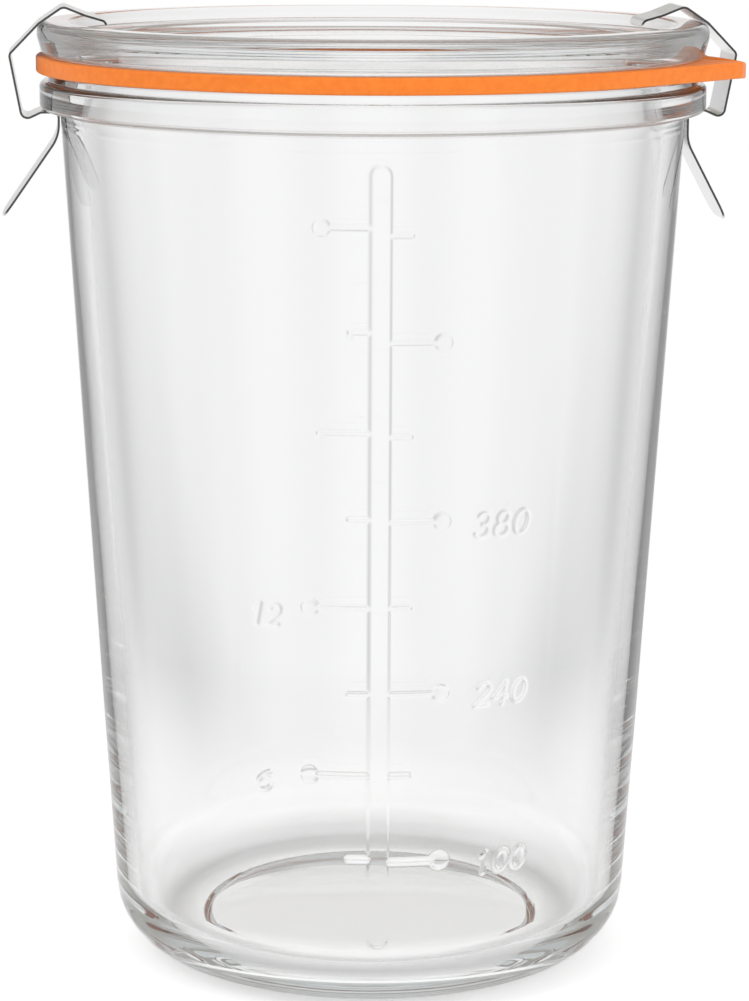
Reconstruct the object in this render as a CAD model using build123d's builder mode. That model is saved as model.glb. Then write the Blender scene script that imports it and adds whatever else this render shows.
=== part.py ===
"""Glass preserving jar for a sourdough starter, shut with its lid, seal ring and two clamps.

All lengths are millimetres. The origin is the centre of the standing face, +Z is up, and the raised
scale is on the -Y side. The jar and lid are pressed glass, the ring is flat rubber with a pull tab, and
each clamp is one strip of spring steel that hooks over the lid and snaps under the jar's flange.
"""

from build123d import *

import math
import os

# Jar body
JAR_HEIGHT = 145.3
FOOT_CONE_RADIUS = 41.84
NECK_RADIUS = 50.26
WALL = 3.0
FLOOR = 5.3
FOOT_CORNER = 11.6
INNER_CORNER = 8.0
STANDING_WIDTH = 2.52
FOOT_RECESS_DEPTH = 1.5
FOOT_RECESS_RUN = 1.4
FOOT_RECESS_ROUND = 0.6

# Jar finish: the flange that the clamps grip and the lip that the ring lies on
FLANGE_REACH = 3.24
FLANGE_HEIGHT = 4.5
FLANGE_ROUND = 0.9
NECK_FILLET = 0.8
LIP_HEIGHT = 1.4
LIP_INSET = 1.4
LIP_ROUND = 0.5
LIP_ROOT = 0.3
MOUTH_ROUND = 1.0

# Raised scale on the front of the jar, heights as shares of the jar's height
SCALE_OFFSET = 1.3
SCALE_BAR_WIDTH = 3.1
SCALE_RELIEF = 0.4
SCALE_SINK = 0.6
TICK_WIDTH = 0.7
TICK_BALL_RADIUS = 1.45
SHORT_REACH = 4.6
MEDIUM_REACH = 9.2
LEFT_BALL_REACH = 12.0
TOP_BALL_REACH = 10.3
RIGHT_BALL_REACH = 10.9
SCALE_BAR_SHARES = (0.083, 0.928)
LEFT_SHORT_SHARES = (0.183, 0.368, 0.558, 0.756)
LEFT_MEDIUM_SHARES = (0.650,)
LEFT_BALL_SHARES = (0.277, 0.462)
LEFT_TOP_SHARES = (0.864,)
RIGHT_SHORT_SHARES = (0.277, 0.462, 0.646, 0.856)
RIGHT_BALL_SHARES = (0.180, 0.368, 0.555, 0.745)

# Seal ring
RING_LAP = 0.6
RING_OVERHANG = 0.5
RING_THICKNESS = 2.65
TAB_REACH = 5.5
TAB_WIDTH = 11.0
TAB_CORNER = 1.0
TAB_ROOT = 4.0
TAB_AZIMUTH = -9.0

# Lid
BOSS_CLEARANCE = 0.45
BOSS_DEPTH = 3.35
BOSS_DRAFT = 0.45
BOSS_ROUND = 1.0
BOSS_ROOT = 0.3
LID_OVERHANG = 0.3
LID_HEIGHT = 5.35
LID_FOOT_INSET = 0.8
LID_FOOT_ROUND = 1.0
LID_KNEE_SHARE = 0.56
LID_SHOULDER = 1.5
LID_BRIM_WIDTH = 5.1
LID_BRIM_ROUND = 0.8
LID_WALL_RUN = 0.7
LID_LEDGE_DEPTH = 2.0
LID_LEDGE_WIDTH = 3.6
LID_LEDGE_FALL = 0.3
LID_RECESS_DEPTH = 4.0
LID_RECESS_ROUND = 0.8

# Clamps: places of the strip's middle line against the lid's edge and the flange
STRIP_WIDTH = 11.5
STRIP_THICKNESS = 0.35
SHOULDER_CLEARANCE = 0.08
SEAT_CLEARANCE = 0.03
NECK_CLEARANCE = 0.05
HOOK_END_INSET = 11.2
HOOK_END_DROP = 0.75
HOOK_END_CORNER = 1.5
LIP_BEND_INSET = 10.65
LIP_BEND_RISE = 0.2
LIP_BEND_ROUND = 0.8
RAMP_INSET = 7.7
RAMP_RISE = 1.05
RAMP_ROUND = 4.0
CREST_INSET = 4.2
CREST_RISE = 2.45
CREST_ROUND = 1.2
ELBOW_REACH = 4.35
ELBOW_DROP = 5.0
ELBOW_ROUND = 0.9
HEEL_REACH = 2.7
HEEL_DROP = 1.55
HEEL_ROUND = 1.1
SEAT_INSET = 0.2
SEAT_ROUND = 1.0
NAPE_ROUND = 0.9
TAIL_LENGTH = 19.45
TAIL_ROUND = 6.0
TAIL_CORNER = 3.0
RIGHT_AZIMUTH = 5.6
RIGHT_LEAN = 28.1
RIGHT_NECK_RUN = 5.1
LEFT_AZIMUTH = 185.6
LEFT_LEAN = 35.0
LEFT_NECK_RUN = 3.76

# Places that follow from the sizes above
flange_radius = NECK_RADIUS + FLANGE_REACH
flange_top = JAR_HEIGHT - LIP_HEIGHT
flange_underside = flange_top - FLANGE_HEIGHT
lip_radius = flange_radius - LIP_INSET
ring_top = JAR_HEIGHT + RING_THICKNESS
lid_radius = flange_radius + LID_OVERHANG
lid_top = ring_top + LID_HEIGHT
recess_floor = lid_top - LID_RECESS_DEPTH
ledge_height = lid_top - LID_LEDGE_DEPTH
ledge_radius = lid_radius - LID_BRIM_WIDTH - LID_WALL_RUN
dish_radius = ledge_radius - LID_LEDGE_WIDTH


def outer_radius(height):
    """Radius of the jar's outer cone at a height."""
    slope = (NECK_RADIUS - FOOT_CONE_RADIUS) / flange_underside
    return FOOT_CONE_RADIUS + slope * height


def inner_radius(height):
    """Radius of the jar's inner cone at a height."""
    return outer_radius(height) - WALL


foot_turn = math.atan2(flange_underside, NECK_RADIUS - FOOT_CONE_RADIUS)
foot_corner_run = FOOT_CORNER * math.tan(foot_turn / 2)
foot_recess_radius = FOOT_CONE_RADIUS - foot_corner_run - STANDING_WIDTH
mouth_radius = inner_radius(JAR_HEIGHT)
ring_radius = flange_radius + RING_OVERHANG
ring_bore_radius = mouth_radius - RING_LAP
boss_radius = ring_bore_radius - BOSS_CLEARANCE

os.makedirs("parts", exist_ok=True)

# Scale relief: a bar with ticks to both sides, kept only in a thin band that follows the jar's cone
scale_low = SCALE_BAR_SHARES[0] * JAR_HEIGHT
scale_high = SCALE_BAR_SHARES[1] * JAR_HEIGHT
plain_ticks = (
    (-SHORT_REACH, LEFT_SHORT_SHARES),
    (-MEDIUM_REACH, LEFT_MEDIUM_SHARES),
    (SHORT_REACH, RIGHT_SHORT_SHARES),
)
ball_ticks = (
    (-LEFT_BALL_REACH, LEFT_BALL_SHARES),
    (-TOP_BALL_REACH, LEFT_TOP_SHARES),
    (RIGHT_BALL_REACH, RIGHT_BALL_SHARES),
)

with BuildPart() as scale_relief:
    with BuildSketch(Plane.XZ.offset(flange_radius)):
        with Locations((SCALE_OFFSET, (scale_low + scale_high) / 2)):
            SlotOverall(scale_high - scale_low, SCALE_BAR_WIDTH, rotation=90)
        for reach, shares in plain_ticks:
            for share in shares:
                with Locations((SCALE_OFFSET + reach / 2, share * JAR_HEIGHT)):
                    Rectangle(abs(reach), TICK_WIDTH)
        for reach, shares in ball_ticks:
            ball_place = reach - math.copysign(TICK_BALL_RADIUS, reach)
            for share in shares:
                with Locations((SCALE_OFFSET + ball_place / 2, share * JAR_HEIGHT)):
                    Rectangle(abs(ball_place), TICK_WIDTH)
                with Locations((SCALE_OFFSET + ball_place, share * JAR_HEIGHT)):
                    Circle(TICK_BALL_RADIUS)
    extrude(amount=-flange_radius)
    with BuildSketch(Plane.XZ):
        Polygon(
            (outer_radius(0) - SCALE_SINK, 0),
            (outer_radius(0) + SCALE_RELIEF, 0),
            (outer_radius(JAR_HEIGHT) + SCALE_RELIEF, JAR_HEIGHT),
            (outer_radius(JAR_HEIGHT) - SCALE_SINK, JAR_HEIGHT),
            align=None,
        )
    revolve(axis=Axis.Z, mode=Mode.INTERSECT)

# Jar: half section from the middle of the underside, up the outside and back down the inside
with BuildPart() as jar:
    with BuildSketch(Plane.XZ):
        with BuildLine():
            FilletPolyline(
                (0, FOOT_RECESS_DEPTH),
                (foot_recess_radius - FOOT_RECESS_RUN, FOOT_RECESS_DEPTH),
                (foot_recess_radius, 0),
                (FOOT_CONE_RADIUS, 0),
                (NECK_RADIUS, flange_underside),
                (flange_radius, flange_underside),
                (flange_radius, flange_top),
                (lip_radius, flange_top),
                (lip_radius, JAR_HEIGHT),
                (mouth_radius, JAR_HEIGHT),
                (inner_radius(FLOOR), FLOOR),
                (0, FLOOR),
                radius=[
                    FOOT_RECESS_ROUND,
                    FOOT_RECESS_ROUND,
                    FOOT_CORNER,
                    NECK_FILLET,
                    FLANGE_ROUND,
                    FLANGE_ROUND,
                    LIP_ROOT,
                    LIP_ROUND,
                    MOUTH_ROUND,
                    INNER_CORNER,
                ],
            )
            Line((0, FLOOR), (0, FOOT_RECESS_DEPTH))
        make_face()
    revolve(axis=Axis.Z)
    add(scale_relief.part)
jar.part.label = "jar"
export_step(jar.part, "parts/jar.step")

# Seal ring: a flat washer with a pull tab, drawn with the tab on the plane's left side so that the seam
# of the circle lies opposite the tab. The tab's front flank runs off the circle at a tangent, and its
# rear side, which faces the right clamp, stays straight.
tab_turn = math.radians(TAB_AZIMUTH)
tab_end = ring_radius + TAB_REACH
flank_turn = math.atan2(TAB_WIDTH / 2, tab_end) + math.acos(
    ring_radius / math.hypot(tab_end, TAB_WIDTH / 2)
)
tab_axis = Axis((0, 0, 0), (math.cos(tab_turn), math.sin(tab_turn), 0))

with BuildPart() as seal_ring:
    with BuildSketch(Plane(origin=(0, 0, JAR_HEIGHT), x_dir=-tab_axis.direction, z_dir=(0, 0, 1))):
        Circle(ring_radius)
        with Locations((-tab_end / 2, 0)):
            Rectangle(tab_end, TAB_WIDTH)
        Polygon(
            (0, 0),
            (-tab_end, TAB_WIDTH / 2),
            (-ring_radius * math.cos(flank_turn), ring_radius * math.sin(flank_turn)),
            align=None,
        )
    extrude(amount=RING_THICKNESS)
    fillet(seal_ring.edges().filter_by(Axis.Z).sort_by(tab_axis)[-3:-2], TAB_ROOT)
    fillet(seal_ring.edges().filter_by(Axis.Z).sort_by(tab_axis)[-2:], TAB_CORNER)
    with Locations((0, 0, ring_top)):
        Hole(ring_bore_radius)
seal_ring.part.label = "seal_ring"
export_step(seal_ring.part, "parts/seal_ring.step")

# Lid: half section from the middle of the boss, round the outside to the brim, and down over a ledge to
# the recess on top
with BuildPart() as lid:
    with BuildSketch(Plane.XZ):
        with BuildLine():
            FilletPolyline(
                (0, ring_top - BOSS_DEPTH),
                (boss_radius - BOSS_DRAFT, ring_top - BOSS_DEPTH),
                (boss_radius, ring_top),
                (lid_radius - LID_FOOT_INSET, ring_top),
                (lid_radius, ring_top + LID_KNEE_SHARE * LID_HEIGHT),
                (lid_radius, lid_top),
                (lid_radius - LID_BRIM_WIDTH, lid_top),
                (ledge_radius, ledge_height),
                (dish_radius, ledge_height - LID_LEDGE_FALL),
                (dish_radius - LID_WALL_RUN, recess_floor),
                (0, recess_floor),
                radius=[
                    BOSS_ROUND,
                    BOSS_ROOT,
                    LID_FOOT_ROUND,
                    LID_SHOULDER,
                    LID_SHOULDER,
                    LID_BRIM_ROUND,
                    LID_RECESS_ROUND,
                    LID_RECESS_ROUND,
                    LID_RECESS_ROUND,
                ],
            )
            Line((0, recess_floor), (0, ring_top - BOSS_DEPTH))
        make_face()
    revolve(axis=Axis.Z)
lid.part.label = "lid"
export_step(lid.part, "parts/lid.step")

# Clamps: the strip passes the lid's rounded shoulder at one distance from the centre of that rounding,
# which is the line it swings about
half_strip = STRIP_THICKNESS / 2
swing_radius = lid_radius - LID_SHOULDER
swing_height = lid_top - LID_SHOULDER
shoulder_stand = LID_SHOULDER + SHOULDER_CLEARANCE + half_strip
crest = (lid_radius - CREST_INSET, lid_top + CREST_RISE)
elbow = (lid_radius + ELBOW_REACH, lid_top - ELBOW_DROP)
seat_height = flange_underside - SEAT_CLEARANCE - half_strip
nape_radius = NECK_RADIUS + NECK_CLEARANCE + half_strip


def touch_angle(point, side):
    """Angle about the swing line at which a straight run from the point meets the stand circle."""
    run = point[0] - swing_radius
    rise = point[1] - swing_height
    return math.atan2(rise, run) + side * math.acos(shoulder_stand / math.hypot(run, rise))


crest_touch = touch_angle(crest, -1)
elbow_touch = touch_angle(elbow, 1)
shoulder_turn = (crest_touch + elbow_touch) / 2
shoulder_reach = shoulder_stand / math.cos((crest_touch - elbow_touch) / 2)
shoulder = (
    swing_radius + shoulder_reach * math.cos(shoulder_turn),
    swing_height + shoulder_reach * math.sin(shoulder_turn),
)

for clamp_name, azimuth, lean, neck_run in (
    ("right_clamp", math.radians(RIGHT_AZIMUTH), math.radians(RIGHT_LEAN), RIGHT_NECK_RUN),
    ("left_clamp", math.radians(LEFT_AZIMUTH), math.radians(LEFT_LEAN), LEFT_NECK_RUN),
):
    clamp_plane = Plane(
        origin=(0, 0, 0),
        x_dir=(math.cos(azimuth), math.sin(azimuth), 0),
        z_dir=(math.sin(azimuth), -math.cos(azimuth), 0),
    )
    tail_run = TAIL_LENGTH - neck_run
    tail_bend_height = seat_height - neck_run
    with BuildPart() as clamp:
        with BuildLine(clamp_plane) as middle_line:
            FilletPolyline(
                (lid_radius - HOOK_END_INSET, lid_top - HOOK_END_DROP),
                (lid_radius - LIP_BEND_INSET, lid_top + LIP_BEND_RISE),
                (lid_radius - RAMP_INSET, lid_top + RAMP_RISE),
                crest,
                shoulder,
                elbow,
                (flange_radius + HEEL_REACH, flange_underside - HEEL_DROP),
                (flange_radius - SEAT_INSET, seat_height),
                (nape_radius, seat_height),
                (nape_radius, tail_bend_height),
                (
                    nape_radius + tail_run * math.sin(lean),
                    tail_bend_height - tail_run * math.cos(lean),
                ),
                radius=[
                    LIP_BEND_ROUND,
                    RAMP_ROUND,
                    CREST_ROUND,
                    shoulder_stand,
                    ELBOW_ROUND,
                    HEEL_ROUND,
                    SEAT_ROUND,
                    NAPE_ROUND,
                    TAIL_ROUND,
                ],
            )
        strip_start = middle_line.line @ 0
        strip_end = middle_line.line @ 1
        with BuildSketch(
            Plane(origin=strip_start, x_dir=clamp_plane.z_dir, z_dir=middle_line.line % 0)
        ):
            Rectangle(STRIP_WIDTH, STRIP_THICKNESS)
        sweep(path=middle_line.line)
        tail_face = clamp.faces().sort_by_distance(strip_end)[0]
        fillet(tail_face.edges().sort_by(SortBy.LENGTH)[:2], TAIL_CORNER)
        hook_face = clamp.faces().sort_by_distance(strip_start)[0]
        fillet(hook_face.edges().sort_by(SortBy.LENGTH)[:2], HOOK_END_CORNER)
    clamp.part.label = clamp_name
    export_step(clamp.part, f"parts/{clamp_name}.step")
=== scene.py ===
"""Looks of a glass preserving jar: clear glass jar and lid, orange rubber ring and two steel clamps.

Lengths are metres in the frame's own axes, +Z up. MM turns a length in millimetres into metres.
"""

import math

import bmesh
import bpy
import numpy as np
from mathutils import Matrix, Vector


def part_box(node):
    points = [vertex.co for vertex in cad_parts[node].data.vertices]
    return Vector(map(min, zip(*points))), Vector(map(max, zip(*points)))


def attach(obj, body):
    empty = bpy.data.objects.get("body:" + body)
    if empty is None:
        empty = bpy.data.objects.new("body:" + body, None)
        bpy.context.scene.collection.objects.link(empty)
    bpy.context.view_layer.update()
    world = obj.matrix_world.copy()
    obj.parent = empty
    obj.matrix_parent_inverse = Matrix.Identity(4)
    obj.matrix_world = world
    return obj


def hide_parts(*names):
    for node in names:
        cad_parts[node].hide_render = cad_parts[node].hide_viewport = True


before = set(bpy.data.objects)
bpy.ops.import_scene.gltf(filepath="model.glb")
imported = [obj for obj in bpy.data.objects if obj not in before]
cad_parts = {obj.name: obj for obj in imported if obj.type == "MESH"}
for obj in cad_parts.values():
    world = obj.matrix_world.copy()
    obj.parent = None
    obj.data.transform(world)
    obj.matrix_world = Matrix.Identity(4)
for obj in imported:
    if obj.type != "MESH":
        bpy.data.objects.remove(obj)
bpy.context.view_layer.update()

MM = 0.001

# Sizes of the glass and the ring, from the frame's boxes where they have them
JAR_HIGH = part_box("jar")[1]
LID_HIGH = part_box("lid")[1]
RING_LOW, RING_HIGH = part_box("seal_ring")
JAR_HEIGHT = JAR_HIGH.z
FLANGE_RADIUS = JAR_HIGH.y
FLANGE_REACH = 3.24 * MM
NECK_RADIUS = FLANGE_RADIUS - FLANGE_REACH
FOOT_CONE_RADIUS = 41.84 * MM
FOOT_RECESS_RADIUS = 28.4 * MM
FOOT_RECESS_RUN = 1.4 * MM
FOOT_RECESS_DEPTH = 1.5 * MM
WALL = 3.0 * MM
FLOOR = 5.3 * MM
FLANGE_HEIGHT = 4.5 * MM
LIP_HEIGHT = 1.4 * MM
LIP_INSET = 1.4 * MM
FLANGE_TOP = JAR_HEIGHT - LIP_HEIGHT
FLANGE_UNDERSIDE = FLANGE_TOP - FLANGE_HEIGHT
JAR_ROUNDS = (0.6, 0.6, 11.6, 0.8, 0.9, 0.9, 0.3, 0.5, 1.0, 8.0)
RING_LOW_FACE = RING_LOW.z
RING_TOP = RING_HIGH.z
RING_RADIUS = RING_HIGH.y
RING_LAP = 0.6 * MM
LID_RADIUS = LID_HIGH.y
LID_TOP = LID_HIGH.z
LID_BOSS_DEPTH = 3.35 * MM
LID_BOSS_DRAFT = 0.45 * MM
LID_BOSS_CLEARANCE = 0.45 * MM
LID_FOOT_INSET = 0.8 * MM
LID_KNEE_RISE = 3.0 * MM
LID_BRIM_WIDTH = 5.1 * MM
LID_WALL_RUN = 0.7 * MM
LID_LEDGE_DEPTH = 2.0 * MM
LID_LEDGE_WIDTH = 3.6 * MM
LID_LEDGE_FALL = 0.3 * MM
LID_RECESS_DEPTH = 4.0 * MM
LID_ROUNDS = (1.0, 0.3, 1.0, 1.5, 1.5, 0.8, 0.8, 0.8, 0.8)
RECESS_FLOOR = LID_TOP - LID_RECESS_DEPTH
LEDGE_RADIUS = LID_RADIUS - LID_BRIM_WIDTH - LID_WALL_RUN
DISH_RADIUS = LEDGE_RADIUS - LID_LEDGE_WIDTH


def outer_radius(height):
    """Radius of the jar's outer cone at a height."""
    return FOOT_CONE_RADIUS + (NECK_RADIUS - FOOT_CONE_RADIUS) * height / FLANGE_UNDERSIDE


def inner_radius(height):
    """Radius of the jar's inner cone at a height."""
    return outer_radius(height) - WALL


MOUTH_RADIUS = inner_radius(JAR_HEIGHT)
RING_BORE = MOUTH_RADIUS - RING_LAP
BOSS_RADIUS = RING_BORE - LID_BOSS_CLEARANCE


def rounded(points, radii, steps=8):
    """A polyline whose inner corners are rounded, each by its own radius, as a list of pairs."""
    done = [points[0]]
    for before, corner, after, radius in zip(points, points[1:], points[2:], radii):
        to_before = (Vector(before) - Vector(corner)).normalized()
        to_after = (Vector(after) - Vector(corner)).normalized()
        half = to_before.angle(to_after) / 2
        middle = Vector(corner) + (to_before + to_after).normalized() * radius / math.sin(half)
        first = Vector(corner) + to_before * radius / math.tan(half) - middle
        last = Vector(corner) + to_after * radius / math.tan(half) - middle
        sweep = first.angle_signed(last)
        for step in range(steps + 1):
            turn = -sweep * step / steps
            c, s = math.cos(turn), math.sin(turn)
            done.append((middle.x + first.x * c - first.y * s, middle.y + first.x * s + first.y * c))
    done.append(points[-1])
    return done


def grid_faces(rows, columns):
    """Quads of a grid of vertices whose columns close into a loop."""
    row, column = np.meshgrid(np.arange(rows - 1), np.arange(columns), indexing="ij")
    after = (column + 1) % columns
    low, high = row * columns, (row + 1) * columns
    return np.stack([low + column, low + after, high + after, high + column], axis=-1).reshape(-1, 4)


def new_piece(name, vertices, faces):
    """A smooth mesh object with outward normals."""
    mesh = bpy.data.meshes.new(name)
    mesh.from_pydata(vertices, [], faces)
    work = bmesh.new()
    work.from_mesh(mesh)
    bmesh.ops.recalc_face_normals(work, faces=work.faces)
    work.to_mesh(mesh)
    work.free()
    for polygon in mesh.polygons:
        polygon.use_smooth = True
    piece = bpy.data.objects.new(name, mesh)
    bpy.context.scene.collection.objects.link(piece)
    return piece


# How near a point lies to the outer cone to count as on it
CONE_TOLERANCE = 0.01 * MM


def lathe(name, outline, angles, relief=None):
    """A closed solid of revolution from an outline whose two ends lie on the axis.

    The relief, if any, is a function of x, y and z that gives how far each point of the rows on the
    outer cone stands out.
    """
    ring = np.array(outline[1:-1])
    radius = np.repeat(ring[:, :1], len(angles), axis=1)
    height = np.repeat(ring[:, 1:], len(angles), axis=1)
    if relief:
        on_cone = np.abs(radius - outer_radius(height)) < CONE_TOLERANCE
        stand = relief(radius * np.cos(angles), radius * np.sin(angles), height)
        radius = radius + np.where(on_cone, stand, 0)
    places = np.stack([radius * np.cos(angles), radius * np.sin(angles), height], axis=-1).reshape(-1, 3)
    count, turns = len(ring), len(angles)
    vertices = [tuple(place) for place in places] + [(0, 0, outline[0][1]), (0, 0, outline[-1][1])]
    faces = grid_faces(count, turns).tolist()
    foot_centre, top_centre = count * turns, count * turns + 1
    last = (count - 1) * turns
    for k in range(turns):
        after = (k + 1) % turns
        faces.append((foot_centre, after, k))
        faces.append((top_centre, last + k, last + after))
    return new_piece(name, vertices, faces)


# Raised scale on the front: heights as shares of the jar's height, as on the solid
SCALE_X = 1.3 * MM
BAR_HALF = 1.55 * MM
BAR_SHARES = (0.083, 0.928)
BAR_LEFT_EDGE = 0.90 * MM
BAR_RIGHT_EDGE = 0.50 * MM
TICK_HALF = 0.42 * MM
BALL_RADIUS = 1.45 * MM
SCALE_RELIEF = 0.38 * MM
BALL_RELIEF = 0.40 * MM
DIGIT_RELIEF = 0.18 * MM
DIGIT_HALF = 0.32 * MM
SHORT_REACH = 4.6 * MM
MEDIUM_REACH = 9.2 * MM
TICK_DROP = 0.9 * MM
DROP_RELIEF = 0.16 * MM
MOULD_LINE_HEIGHT = 137.0 * MM
MOULD_LINE_RELIEF = 0.05 * MM
MOULD_LINE_HALF = 0.25 * MM
PLAIN_TICKS = (
    (-SHORT_REACH, (0.183, 0.368, 0.558, 0.756)),
    (-MEDIUM_REACH, (0.650,)),
    (SHORT_REACH, (0.277, 0.462, 0.646, 0.856)),
)
BALL_TICKS = (
    (-12.0 * MM, (0.277, 0.462)),
    (-10.3 * MM, (0.864,)),
    (10.9 * MM, (0.180, 0.368, 0.555, 0.745)),
)
DROPPED_TICKS = ((-SHORT_REACH, 0.756), (-MEDIUM_REACH, 0.650))


def arc(cx, cz, rx, rz, start, end, steps=10):
    """Points of an elliptic arc, angles in degrees."""
    turns = [math.radians(start + (end - start) * k / steps) for k in range(steps + 1)]
    return [(cx + rx * math.cos(t), cz + rz * math.sin(t)) for t in turns]


# Strokes of the plain numerals on a box one high and two thirds wide
DIGITS = {
    "0": [arc(0.33, 0.5, 0.27, 0.48, 0, 360, 18)],
    "1": [[(0.14, 0.76), (0.36, 0.98), (0.36, 0.0)]],
    "2": [arc(0.33, 0.71, 0.25, 0.27, 165, -35) + [(0.06, 0.0), (0.60, 0.0)]],
    "3": [arc(0.31, 0.74, 0.23, 0.24, 150, -90), arc(0.31, 0.26, 0.27, 0.26, 90, -150)],
    "4": [[(0.46, 0.0), (0.46, 0.98), (0.04, 0.30), (0.62, 0.30)]],
    "6": [arc(0.37, 0.34, 0.33, 0.34, 0, 360, 16), arc(0.80, 0.34, 0.76, 0.66, 180, 112)],
    "8": [arc(0.33, 0.74, 0.21, 0.23, 0, 360, 12), arc(0.33, 0.26, 0.27, 0.26, 0, 360, 14)],
}
DIGIT_SLANT = 0.18
DIGIT_PITCH = 0.78

# Numerals: text, left edge, height of the middle as a share of the jar's height, and size
NUMERALS = (
    ("100", 16.4 * MM, 0.1725, 3.5 * MM),
    ("240", 15.9 * MM, 0.3625, 3.6 * MM),
    ("380", 15.5 * MM, 0.5485, 3.8 * MM),
    ("6", -17.7 * MM, 0.2665, 3.2 * MM),
    ("12", -18.6 * MM, 0.4515, 3.2 * MM),
)


def distance(x, z, start, end):
    """Distance of each point to a straight stroke."""
    ax, az = start
    run, rise = end[0] - ax, end[1] - az
    share = np.clip(((x - ax) * run + (z - az) * rise) / (run * run + rise * rise), 0, 1)
    return np.hypot(x - ax - share * run, z - az - share * rise)


# How far a stroke's soft foot spreads, in its half widths
STROKE_SPREAD = 1.5


def rod(gap, half, height):
    """A soft half-round section at a distance from a stroke's middle line."""
    return height * (0.5 + 0.5 * np.cos(math.pi * np.clip(gap / (half * STROKE_SPREAD), 0, 1)))


def step(depth, width):
    """A smooth rise from 0 to 1 over a width."""
    share = np.clip(depth / width + 0.5, 0, 1)
    return share * share * (3 - 2 * share)


def scale_relief(x, y, z):
    """Height of the raised scale and numerals over the jar's cone, on the front only."""
    low, high = (share * JAR_HEIGHT for share in BAR_SHARES)
    gap = distance(x, z, (SCALE_X, low + BAR_HALF), (SCALE_X, high - BAR_HALF))
    edge = np.where(x < SCALE_X, BAR_LEFT_EDGE, BAR_RIGHT_EDGE)
    total = SCALE_RELIEF * step(BAR_HALF - gap, edge)
    for reach, shares in PLAIN_TICKS + BALL_TICKS:
        for share in shares:
            level = share * JAR_HEIGHT
            end = SCALE_X + reach
            if (reach, shares) in BALL_TICKS:
                end -= math.copysign(BALL_RADIUS, reach)
                ball = np.hypot(x - end, z - level)
                dome = BALL_RELIEF * np.sqrt(np.clip(1 - (ball / BALL_RADIUS) ** 2, 0, 1))
                total = np.maximum(total, dome)
            start = (SCALE_X, level)
            total = np.maximum(total, rod(distance(x, z, start, (end, level)), TICK_HALF, SCALE_RELIEF))
    for reach, share in DROPPED_TICKS:
        end = SCALE_X + reach
        level = share * JAR_HEIGHT
        drop = distance(x, z, (end, level), (end, level - TICK_DROP))
        total = np.maximum(total, rod(drop, TICK_HALF, DROP_RELIEF))
    for text, left, share, size in NUMERALS:
        base = share * JAR_HEIGHT - size / 2
        for place, letter in enumerate(text):
            for stroke in DIGITS[letter]:
                drawn = [
                    (left + size * (u + DIGIT_SLANT * v + DIGIT_PITCH * place), base + size * v)
                    for u, v in stroke
                ]
                for start, end in zip(drawn, drawn[1:]):
                    total = np.maximum(total, rod(distance(x, z, start, end), DIGIT_HALF, DIGIT_RELIEF))
    total = np.where(y < 0, total, 0)
    seam = MOULD_LINE_RELIEF * np.clip(1 - np.abs(z - MOULD_LINE_HEIGHT) / MOULD_LINE_HALF, 0, 1)
    return total + seam


def fine_places(low, high, pitch):
    """Evenly spaced places from low to high."""
    return np.linspace(low, high, int(round((high - low) / pitch)) + 1)


# Columns close together over the scale and wide apart elsewhere; rows close together at the marks
FINE_PITCH = 0.21 * MM
SCALE_LEFT = -19.5 * MM
SCALE_RIGHT = 25.5 * MM
WIDE_COLUMNS = 160
BAND_HALF = 3.9 * MM
COARSE_ROWS = 48
LEAST_ROW_GAP = 0.7 * FINE_PITCH


def jar_angles():
    """Angles of the jar's columns, with the scale's part finely divided."""
    front = -math.pi / 2
    first = front + math.asin(SCALE_LEFT / outer_radius(0))
    last = front + math.asin(SCALE_RIGHT / outer_radius(0))
    fine = fine_places(first, last, FINE_PITCH / NECK_RADIUS)
    wide = np.linspace(last, first + 2 * math.pi, WIDE_COLUMNS)[1:-1]
    return np.concatenate([fine, wide])


def cone_heights(low, high):
    """Heights of the rows on the outer cone between two heights."""
    levels = sorted({share for _, shares in PLAIN_TICKS + BALL_TICKS for share in shares})
    bands = [(share * JAR_HEIGHT, BAND_HALF, FINE_PITCH) for share in levels]
    bands += [(share * JAR_HEIGHT, BAR_HALF, FINE_PITCH) for share in BAR_SHARES]
    bands.append((MOULD_LINE_HEIGHT, 2 * MOULD_LINE_HALF, MOULD_LINE_HALF / 2))
    heights = list(np.linspace(low, high, COARSE_ROWS))
    for middle, half, pitch in bands:
        heights.extend(fine_places(middle - half, middle + half, pitch))
    kept = []
    for height in sorted(heights):
        inside = low + FINE_PITCH < height < high - FINE_PITCH
        if inside and (not kept or height - kept[-1] > LEAST_ROW_GAP):
            kept.append(float(height))
    return kept


# Jar
jar_outline = rounded(
    [
        (0, FOOT_RECESS_DEPTH),
        (FOOT_RECESS_RADIUS - FOOT_RECESS_RUN, FOOT_RECESS_DEPTH),
        (FOOT_RECESS_RADIUS, 0),
        (FOOT_CONE_RADIUS, 0),
        (NECK_RADIUS, FLANGE_UNDERSIDE),
        (FLANGE_RADIUS, FLANGE_UNDERSIDE),
        (FLANGE_RADIUS, FLANGE_TOP),
        (FLANGE_RADIUS - LIP_INSET, FLANGE_TOP),
        (FLANGE_RADIUS - LIP_INSET, JAR_HEIGHT),
        (MOUTH_RADIUS, JAR_HEIGHT),
        (inner_radius(FLOOR), FLOOR),
        (0, FLOOR),
    ],
    [r * MM for r in JAR_ROUNDS],
)
full_outline = []
for here, there in zip(jar_outline, jar_outline[1:]):
    full_outline.append(here)
    if there[1] - here[1] > JAR_HEIGHT / 2:
        full_outline.extend((outer_radius(z), z) for z in cone_heights(here[1], there[1]))
full_outline.append(jar_outline[-1])
jar_glass = lathe("jar_glass", full_outline, jar_angles(), scale_relief)
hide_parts("jar")
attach(jar_glass, "jar")

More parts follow.
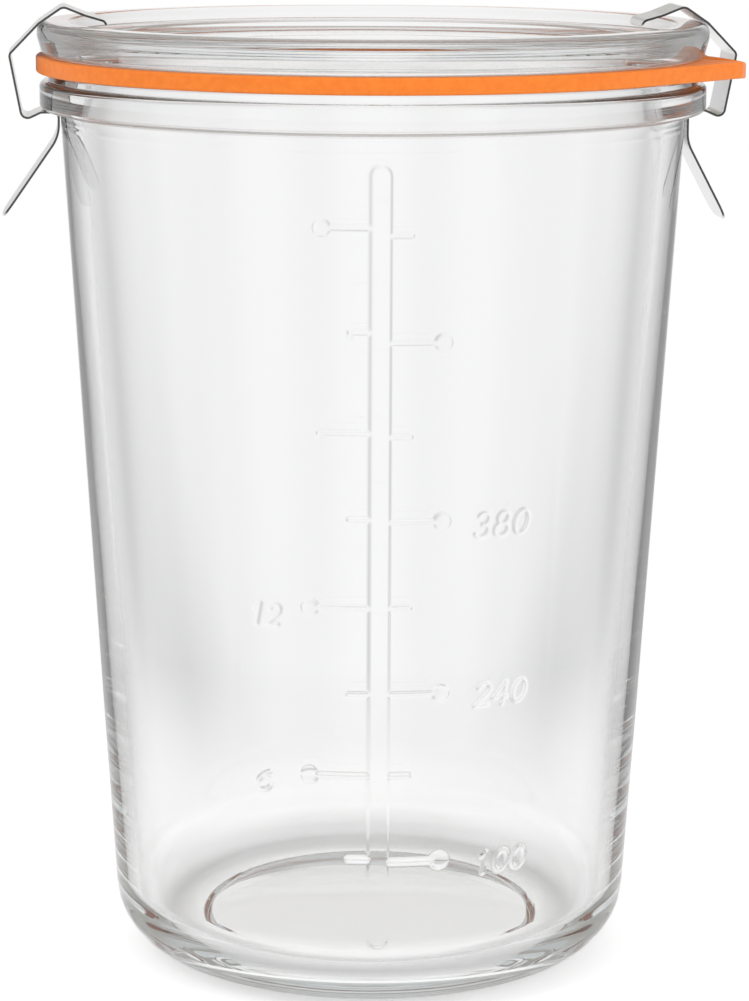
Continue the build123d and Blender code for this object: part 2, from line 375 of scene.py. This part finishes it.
# Lid
lid_outline = rounded(
    [
        (0, RING_TOP - LID_BOSS_DEPTH),
        (BOSS_RADIUS - LID_BOSS_DRAFT, RING_TOP - LID_BOSS_DEPTH),
        (BOSS_RADIUS, RING_TOP),
        (LID_RADIUS - LID_FOOT_INSET, RING_TOP),
        (LID_RADIUS, RING_TOP + LID_KNEE_RISE),
        (LID_RADIUS, LID_TOP),
        (LID_RADIUS - LID_BRIM_WIDTH, LID_TOP),
        (LEDGE_RADIUS, LID_TOP - LID_LEDGE_DEPTH),
        (DISH_RADIUS, LID_TOP - LID_LEDGE_DEPTH - LID_LEDGE_FALL),
        (DISH_RADIUS - LID_WALL_RUN, RECESS_FLOOR),
        (0, RECESS_FLOOR),
    ],
    [r * MM for r in LID_ROUNDS],
)
LID_COLUMNS = 288
lid_glass = lathe("lid_glass", lid_outline, np.arange(LID_COLUMNS) * 2 * math.pi / LID_COLUMNS)
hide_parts("lid")
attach(lid_glass, "jar")

# Seal ring: a moulded washer with soft edges and a pull tab that droops a little
TAB_AZIMUTH = math.radians(-9.0)
TAB_TIP = 59.5 * MM
TAB_HALF = 5.5 * MM
TAB_CORNER = 1.0 * MM
TAB_ROOT = 4.0 * MM
TAB_DROOP = 0.8 * MM
RING_EDGE = 0.35 * MM
RING_AIR = 0.02 * MM
RING_ARC_STEPS = 300
ROOT_RUN = 3.6 * MM
ROOT_ROUND = 0.9 * TAB_ROOT
FLANK_STEPS = 12
CORNER_STEPS = 12
EDGE_STEPS = 5


def ring_outline():
    """The ring's outer outline in the tab's own axes. Its front flank runs off the circle at a tangent."""
    root = math.asin(TAB_HALF / RING_RADIUS)
    first = root + ROOT_RUN / RING_RADIUS
    flare = math.atan2(TAB_HALF, TAB_TIP) + math.acos(RING_RADIUS / math.hypot(TAB_TIP, TAB_HALF))
    last = 2 * math.pi - flare
    turns = [first + (last - first) * k / RING_ARC_STEPS for k in range(RING_ARC_STEPS + 1)]
    around = [(RING_RADIUS * math.cos(t), RING_RADIUS * math.sin(t)) for t in turns]
    corners = rounded(
        [
            around[-1],
            (TAB_TIP, -TAB_HALF),
            (TAB_TIP, TAB_HALF),
            (RING_RADIUS * math.cos(root), TAB_HALF),
            around[0],
        ],
        [TAB_CORNER, TAB_CORNER, ROOT_ROUND],
        steps=CORNER_STEPS,
    )
    start, end = Vector(around[-1]), Vector(corners[1])
    flank = [tuple(start.lerp(end, k / FLANK_STEPS)) for k in range(1, FLANK_STEPS)]
    return np.array(around + flank + corners[1:-1])


def soft_edge(line, outward, level, rise, turns):
    """Rows of a rounded edge: turn 0 is on the face at the level, a quarter turn on the upright side."""
    rows = []
    for turn in turns:
        inset = RING_EDGE * (1 - math.sin(turn))
        climb = RING_EDGE * (1 - math.cos(turn))
        rows.append((line - outward * inset, level + rise * climb))
    return rows


def rubber_ring():
    """The ring as rows of points round its section: outside, top and bore, all with rounded edges."""
    outside = ring_outline()
    ahead = np.roll(outside, -1, axis=0) - np.roll(outside, 1, axis=0)
    normal = np.stack([ahead[:, 1], -ahead[:, 0]], axis=1)
    normal /= np.linalg.norm(normal, axis=1, keepdims=True)
    bearing = np.arctan2(outside[:, 1], outside[:, 0])
    bore = RING_BORE * np.stack([np.cos(bearing), np.sin(bearing)], axis=1)
    towards_axis = -bore / RING_BORE
    low, high = RING_LOW_FACE + RING_AIR, RING_TOP - RING_AIR
    to_side = [math.pi / 2 * k / EDGE_STEPS for k in range(EDGE_STEPS + 1)]
    to_face = to_side[::-1]
    rows = soft_edge(outside, normal, low, 1, to_side)
    rows += soft_edge(outside, normal, high, -1, to_face)
    rows += soft_edge(bore, towards_axis, high, -1, to_side)
    rows += soft_edge(bore, towards_axis, low, 1, to_face)
    c, s = math.cos(TAB_AZIMUTH), math.sin(TAB_AZIMUTH)
    vertices = []
    for places, level in rows:
        beyond = np.clip((places[:, 0] - RING_RADIUS) / (TAB_TIP - RING_RADIUS), 0, 1)
        droop = TAB_DROOP * beyond ** 1.5 * (0.5 + 0.5 * np.clip(places[:, 1] / TAB_HALF, -1, 1))
        for (x, y), fall in zip(places, droop):
            vertices.append((x * c - y * s, x * s + y * c, level - fall))
    columns = len(outside)
    faces = grid_faces(len(rows), columns).tolist()
    last = (len(rows) - 1) * columns
    for k in range(columns):
        after = (k + 1) % columns
        faces.append((last + k, last + after, after, k))
    return new_piece("rubber_ring", vertices, faces)


ring = rubber_ring()
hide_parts("seal_ring")
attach(ring, "jar")


def new_material(name):
    """An empty node material, its tree and its Principled shader."""
    material = bpy.data.materials.new(name)
    material.use_nodes = True
    return material, material.node_tree, material.node_tree.nodes["Principled BSDF"]


def math_node(tree, operation, first, second=None):
    """A Math node whose inputs are sockets or numbers."""
    node = tree.nodes.new("ShaderNodeMath")
    node.operation = operation
    for socket, value in zip(node.inputs, (first, second)):
        if isinstance(value, (int, float)):
            socket.default_value = value
        elif value is not None:
            tree.links.new(value, socket)
    return node.outputs["Value"]


def ramp_node(tree, factor, stops):
    """A grey or coloured ramp from (position, colour) stops."""
    ramp = tree.nodes.new("ShaderNodeValToRGB")
    elements = ramp.color_ramp.elements
    while len(elements) < len(stops):
        elements.new(0.5)
    for element, (position, colour) in zip(elements, stops):
        element.position = position
        element.color = (*colour, 1) if isinstance(colour, tuple) else (colour, colour, colour, 1)
    tree.links.new(factor, ramp.inputs["Fac"])
    return ramp.outputs["Color"]


def mix_node(tree, factor, first, second):
    """A colour mix of two sockets or greys."""
    node = tree.nodes.new("ShaderNodeMix")
    node.data_type = "RGBA"
    tree.links.new(factor, node.inputs["Factor"])
    for name, value in (("A", first), ("B", second)):
        socket = [s for s in node.inputs if s.name == name and s.type == "RGBA"][0]
        if isinstance(value, (int, float)):
            socket.default_value = (value, value, value, 1)
        elif isinstance(value, tuple):
            socket.default_value = (*value, 1)
        else:
            tree.links.new(value, socket)
    return [s for s in node.outputs if s.type == "RGBA"][0]


def bump(tree, shader, scale, depth, strength, stretch=(1, 1, 1), detail=2.0):
    """Fine relief from noise in object space, its scale in waves per metre and its depth in metres."""
    place = tree.nodes.new("ShaderNodeTexCoord")
    mapping = tree.nodes.new("ShaderNodeMapping")
    mapping.inputs["Scale"].default_value = stretch
    noise = tree.nodes.new("ShaderNodeTexNoise")
    noise.inputs["Scale"].default_value = scale
    noise.inputs["Detail"].default_value = detail
    relief = tree.nodes.new("ShaderNodeBump")
    relief.inputs["Strength"].default_value = strength
    relief.inputs["Distance"].default_value = depth
    tree.links.new(place.outputs["Object"], mapping.inputs["Vector"])
    tree.links.new(mapping.outputs["Vector"], noise.inputs["Vector"])
    tree.links.new(noise.outputs["Fac"], relief.inputs["Height"])
    tree.links.new(relief.outputs["Normal"], shader.inputs["Normal"])
    return noise


# Painted shade on pressed glass: tone greys towards the outline by how far the surface turns from the
# viewer.
# The lid's level faces are all seen at a low angle, so its painted shade falls less, and it carries a
# painted reflection of the ring's warm orange.
JAR_PAINTED_RIM_SHADE_STOPS = ((0.54, 1.0), (0.68, 0.84), (1.0, 0.62))
LID_PAINTED_RIM_SHADE_AND_REFLECTION_STOPS = ((0.5, 1.0), (0.95, (0.98, 0.93, 0.925)))

# Finishes of the glass, the rubber and the steel
GLASS_IOR = 1.52
GLASS_DEPTH_COLOUR = (0.80, 0.83, 0.83)
GLASS_DEPTH_DENSITY = 14.0
GLASS_WAVES = {"scale": 45.0, "depth": 0.3 * MM, "strength": 0.12, "stretch": (1, 1, 0.35)}
RUBBER_STOPS = ((0.3, (0.92, 0.215, 0.020)), (0.7, (1.0, 0.255, 0.027)))
RUBBER_MOTTLE = {"scale": 900.0, "depth": 0.04 * MM, "strength": 0.25}
RUBBER_ROUGHNESS = 0.45
RUBBER_SPECULAR = 0.35
RUBBER_SUBSURFACE = 0.15
RUBBER_SUBSURFACE_REACH = (3.0 * MM, 1.0 * MM, 0.4 * MM)
# Painted shade: dark colour on the steel's cut edges, bright on its faces
STEEL_PAINTED_EDGE_SHADE_STOPS = ((0.45, 0.86), (0.75, 0.10))
STEEL_ROLLING = {
    "scale": 700.0,
    "depth": 0.03 * MM,
    "strength": 0.25,
    "stretch": (1, 8, 0.15),
    "detail": 4.0,
}
STEEL_LEAST_ROUGHNESS = 0.14
STEEL_MOST_ROUGHNESS = 0.28


def glass_material(name, painted_rim_stops):
    """Clear pressed glass with slight waves and a trace of grey in its depth."""
    material, tree, shader = new_material(name)
    # Painted shade: the colour greys towards the outline by Layer Weight facing, and on the lid takes a
    # painted reflection of the ring's orange
    slope = tree.nodes.new("ShaderNodeLayerWeight").outputs["Facing"]
    painted_rim_shade = ramp_node(tree, slope, painted_rim_stops)
    tree.links.new(painted_rim_shade, shader.inputs["Base Color"])
    shader.inputs["Transmission Weight"].default_value = 1.0
    shader.inputs["Roughness"].default_value = 0.0
    shader.inputs["IOR"].default_value = GLASS_IOR
    bump(tree, shader, **GLASS_WAVES)
    depth = tree.nodes.new("ShaderNodeVolumeAbsorption")
    depth.inputs["Color"].default_value = (*GLASS_DEPTH_COLOUR, 1)
    depth.inputs["Density"].default_value = GLASS_DEPTH_DENSITY
    tree.links.new(depth.outputs["Volume"], tree.nodes["Material Output"].inputs["Volume"])
    return material


def rubber_material():
    """Orange natural rubber: satin, a little translucent, with fine mottling."""
    material, tree, shader = new_material("orange_rubber")
    noise = bump(tree, shader, **RUBBER_MOTTLE)
    colour = ramp_node(tree, noise.outputs["Fac"], RUBBER_STOPS)
    tree.links.new(colour, shader.inputs["Base Color"])
    shader.inputs["Roughness"].default_value = RUBBER_ROUGHNESS
    shader.inputs["Specular IOR Level"].default_value = RUBBER_SPECULAR
    shader.inputs["Subsurface Weight"].default_value = RUBBER_SUBSURFACE
    shader.inputs["Subsurface Radius"].default_value = RUBBER_SUBSURFACE_REACH
    shader.inputs["Subsurface Scale"].default_value = 1.0
    return material


# Direction of the strips' width, the same for both clamps, along which their cut edges face and take
# painted shade
CLAMP_AZIMUTH = math.radians(5.6)


def steel_material():
    """Bright spring steel with fine rolling marks and painted shade darkening its cut edges."""
    material, tree, shader = new_material("spring_steel")
    shader.inputs["Metallic"].default_value = 1.0
    place = tree.nodes.new("ShaderNodeTexCoord")
    facing = tree.nodes.new("ShaderNodeVectorMath")
    facing.operation = "DOT_PRODUCT"
    facing.inputs[1].default_value = (math.sin(CLAMP_AZIMUTH), -math.cos(CLAMP_AZIMUTH), 0)
    tree.links.new(place.outputs["Normal"], facing.inputs[0])
    # Painted shade: faces that turn along the strip's width, its cut edges, get a dark colour
    edge = math_node(tree, "ABSOLUTE", facing.outputs["Value"])
    colour = ramp_node(tree, edge, STEEL_PAINTED_EDGE_SHADE_STOPS)
    tree.links.new(colour, shader.inputs["Base Color"])
    noise = bump(tree, shader, **STEEL_ROLLING)
    spread = tree.nodes.new("ShaderNodeMapRange")
    spread.inputs["To Min"].default_value = STEEL_LEAST_ROUGHNESS
    spread.inputs["To Max"].default_value = STEEL_MOST_ROUGHNESS
    tree.links.new(noise.outputs["Fac"], spread.inputs["Value"])
    tree.links.new(spread.outputs["Result"], shader.inputs["Roughness"])
    return material


steel = steel_material()
jar_glass.data.materials.append(glass_material("pressed_glass", JAR_PAINTED_RIM_SHADE_STOPS))
lid_glass.data.materials.append(glass_material("lid_pressed_glass", LID_PAINTED_RIM_SHADE_AND_REFLECTION_STOPS))
ring.data.materials.append(rubber_material())
for node in ("right_clamp", "left_clamp"):
    cad_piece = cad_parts[node]
    if not cad_piece.material_slots:
        cad_piece.data.materials.append(steel)
    for held in cad_piece.material_slots:
        held.material = steel

# Studio as glass and metal see it: eight white panels round the object with grey gaps between them, a warm
# grey wall above them, and a plain ceiling above that. The camera itself sees plain white.
PANELS = 8
PLAIN_LIGHT = 0.80
PANEL_STOPS = ((0.0, 0.66), (0.15, 0.74), (0.45, 0.87), (0.65, 0.91), (1.0, 0.955))
WALL_COLOUR = (0.36, 0.34, 0.31)
WALL_STOPS = ((0.0, 0.0), (0.13, 0.0), (0.22, 1.0), (0.50, 1.0), (0.70, 0.0))
CEILING_STOPS = ((0.50, 0.0), (0.75, 1.0))


def panel_shade(tree, place):
    """White where a panel stands and grey in the gaps, by the bearing of a direction or a place."""
    split = tree.nodes.new("ShaderNodeSeparateXYZ")
    tree.links.new(place, split.inputs["Vector"])
    bearing = math_node(tree, "ARCTAN2", split.outputs["Y"], split.outputs["X"])
    wave = math_node(tree, "COSINE", math_node(tree, "MULTIPLY", bearing, float(PANELS)))
    share = math_node(tree, "MULTIPLY_ADD", wave, 0.5)
    share.node.inputs[2].default_value = 0.5
    return split, ramp_node(tree, share, PANEL_STOPS)


def ray_share(tree, *kinds):
    """1 for rays of any of the named kinds."""
    rays = tree.nodes.new("ShaderNodeLightPath")
    share = rays.outputs[kinds[0]]
    for kind in kinds[1:]:
        share = math_node(tree, "MAXIMUM", share, rays.outputs[kind])
    return share


world = bpy.data.worlds.new("studio")
bpy.context.scene.world = world
world.use_nodes = True
tree = world.node_tree
direction = tree.nodes.new("ShaderNodeTexCoord").outputs["Generated"]
split, panels = panel_shade(tree, direction)
ceiling = ramp_node(tree, split.outputs["Z"], CEILING_STOPS)
wall = ramp_node(tree, split.outputs["Z"], WALL_STOPS)
surround = mix_node(tree, wall, mix_node(tree, ceiling, panels, PLAIN_LIGHT), WALL_COLOUR)
shown = mix_node(tree, ray_share(tree, "Is Glossy Ray", "Is Transmission Ray"), PLAIN_LIGHT, surround)
backdrop = mix_node(tree, ray_share(tree, "Is Camera Ray"), shown, 1.0)
tree.links.new(backdrop, tree.nodes["Background"].inputs["Color"])


def area_light(name, place, target, size, power):
    """A soft rectangular lamp aimed at a point, which glass and metal don't mirror."""
    data = bpy.data.lights.new(name, "AREA")
    data.shape = "RECTANGLE"
    data.size, data.size_y = size
    data.energy = power
    lamp = bpy.data.objects.new(name, data)
    lamp.location = place
    lamp.rotation_euler = (Vector(target) - Vector(place)).to_track_quat("-Z", "Y").to_euler()
    lamp.visible_glossy = False
    lamp.visible_transmission = False
    bpy.context.scene.collection.objects.link(lamp)


LAMP_TARGET = (0, 0, 0.12)
LAMP_SIZE = (0.4, 0.5)
area_light("key_lamp", (-0.5, -0.45, 0.7), LAMP_TARGET, LAMP_SIZE, 1.8)
area_light("fill_lamp", (0.55, -0.45, 0.4), LAMP_TARGET, LAMP_SIZE, 1.4)

# Floor: a white disc that keeps the object's shadow near it and fades into the white backdrop. Near the
# object its glow in glass goes by the distance from the axis, with a painted contact shadow as a dark ring
# round the foot's edge.
FLOOR_RADIUS = 3.0
FLOOR_SIDES = 96
FLOOR_DROP = 0.1 * MM
PAPER_GREY = 0.80
PAPER_ROUGHNESS = 0.9
NEAR_REACH = 0.10
# Painted contact shadow: the glow in glass, bright under the foot, dips to a dark ring round the foot's
# edge
NEAR_GLOW_PAINTED_SHADOW_STOPS = ((0.29, 0.80), (0.35, 0.30), (0.46, 0.27), (0.58, 0.44), (1.0, 0.46))
CAMERA_GLOW = 0.48
FADE_START = 0.05
FADE_END = 0.15
LATE_FADE = 2.0
floor_mesh = bpy.data.meshes.new("floor")
turns = [2 * math.pi * k / FLOOR_SIDES for k in range(FLOOR_SIDES)]
corners = [(FLOOR_RADIUS * math.cos(t), FLOOR_RADIUS * math.sin(t), 0) for t in turns]
floor_mesh.from_pydata(corners, [], [tuple(range(FLOOR_SIDES))])
floor = bpy.data.objects.new("floor", floor_mesh)
bpy.context.scene.collection.objects.link(floor)
floor.location.z = -FLOOR_DROP
paper, tree, shader = new_material("white_paper")
shader.inputs["Roughness"].default_value = PAPER_ROUGHNESS
shader.inputs["Specular IOR Level"].default_value = 0.0
place = tree.nodes.new("ShaderNodeTexCoord").outputs["Object"]
reach = tree.nodes.new("ShaderNodeVectorMath")
reach.operation = "LENGTH"
tree.links.new(place, reach.inputs[0])
fade = tree.nodes.new("ShaderNodeMapRange")
fade.inputs["From Min"].default_value = FADE_START
fade.inputs["From Max"].default_value = FADE_END
tree.links.new(reach.outputs["Value"], fade.inputs["Value"])
panels = panel_shade(tree, place)[1]
near_share = math_node(tree, "DIVIDE", reach.outputs["Value"], NEAR_REACH)
# Painted contact shadow in the floor's glow for glass and metal rays
near_glow_painted_shadow = ramp_node(tree, near_share, NEAR_GLOW_PAINTED_SHADOW_STOPS)
late = math_node(tree, "POWER", fade.outputs["Result"], LATE_FADE)
panel_glow = mix_node(tree, late, near_glow_painted_shadow, panels)
camera_glow = mix_node(tree, fade.outputs["Result"], CAMERA_GLOW, 1.0)
glow = mix_node(tree, ray_share(tree, "Is Camera Ray"), panel_glow, camera_glow)
tree.links.new(glow, shader.inputs["Emission Color"])
seen = ray_share(tree, "Is Camera Ray", "Is Glossy Ray", "Is Transmission Ray")
tree.links.new(seen, shader.inputs["Emission Strength"])
far_and_seen = math_node(tree, "MULTIPLY", fade.outputs["Result"], seen)
tree.links.new(mix_node(tree, far_and_seen, PAPER_GREY, 0.0), shader.inputs["Base Color"])
floor.data.materials.append(paper)

# Light paths long enough for glass behind glass
LIGHT_BOUNCES = 32
cycles = bpy.context.scene.cycles
cycles.max_bounces = LIGHT_BOUNCES
cycles.transmission_bounces = LIGHT_BOUNCES
cycles.glossy_bounces = LIGHT_BOUNCES

# Camera, fitted to the photograph's view
CAMERA_LENS = 119.23
CAMERA_PLACE = (0.0617 * MM, -536.7956 * MM, 181.991 * MM)
CAMERA_TILT = math.radians(78.70)
CAMERA_ROLL = math.radians(-0.27)
camera_data = bpy.data.cameras.new("camera")
camera_data.lens = CAMERA_LENS
camera = bpy.data.objects.new("camera", camera_data)
camera.location = CAMERA_PLACE
camera.rotation_euler = (CAMERA_TILT, CAMERA_ROLL, 0)
bpy.context.scene.collection.objects.link(camera)
bpy.context.scene.camera = camera
bpy.context.scene.view_settings.view_transform = "Standard"

bpy.context.view_layer.update()
